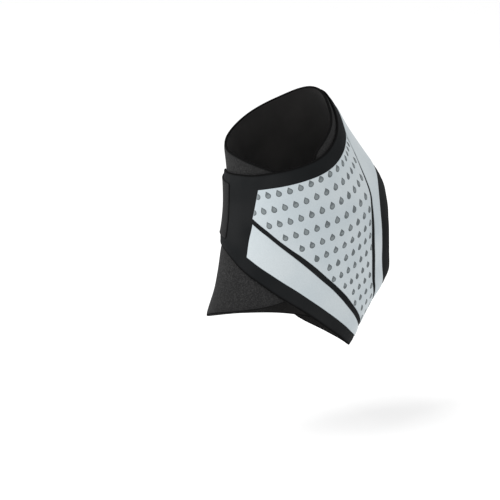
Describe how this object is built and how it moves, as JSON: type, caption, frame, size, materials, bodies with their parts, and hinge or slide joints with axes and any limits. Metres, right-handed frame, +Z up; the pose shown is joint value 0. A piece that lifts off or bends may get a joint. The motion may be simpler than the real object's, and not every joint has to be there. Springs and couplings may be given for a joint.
{
  "type": "ankle brace",
  "caption": "Wrap-round cloth ankle brace for a left foot, open at heel and toes, with an overlapping outer wing, silver films and a hook strip.",
  "frame": {"origin": "centre of the ankle joint, inside the brace", "axes": "+Z up as worn with the heel raised, -Y towards the toes, +X towards the outer side of the left foot"},
  "size_m": [0.0814, 0.119, 0.1691],
  "materials": {
    "base_cloth": "charcoal looped knit, matte",
    "wing_cloth": "black smooth stretch cloth, matte",
    "silver_print": "silver grey printed film, satin",
    "hook_strip": "black hook tape, matte"
  },
  "bodies": {
    "root": {"base_wrap": "base_cloth", "outer_wing": "wing_cloth", "main_panel": "silver_print", "lower_panel": "silver_print", "rear_panel": "silver_print", "hook_tab": "hook_strip"}
  },
  "joints": []
}
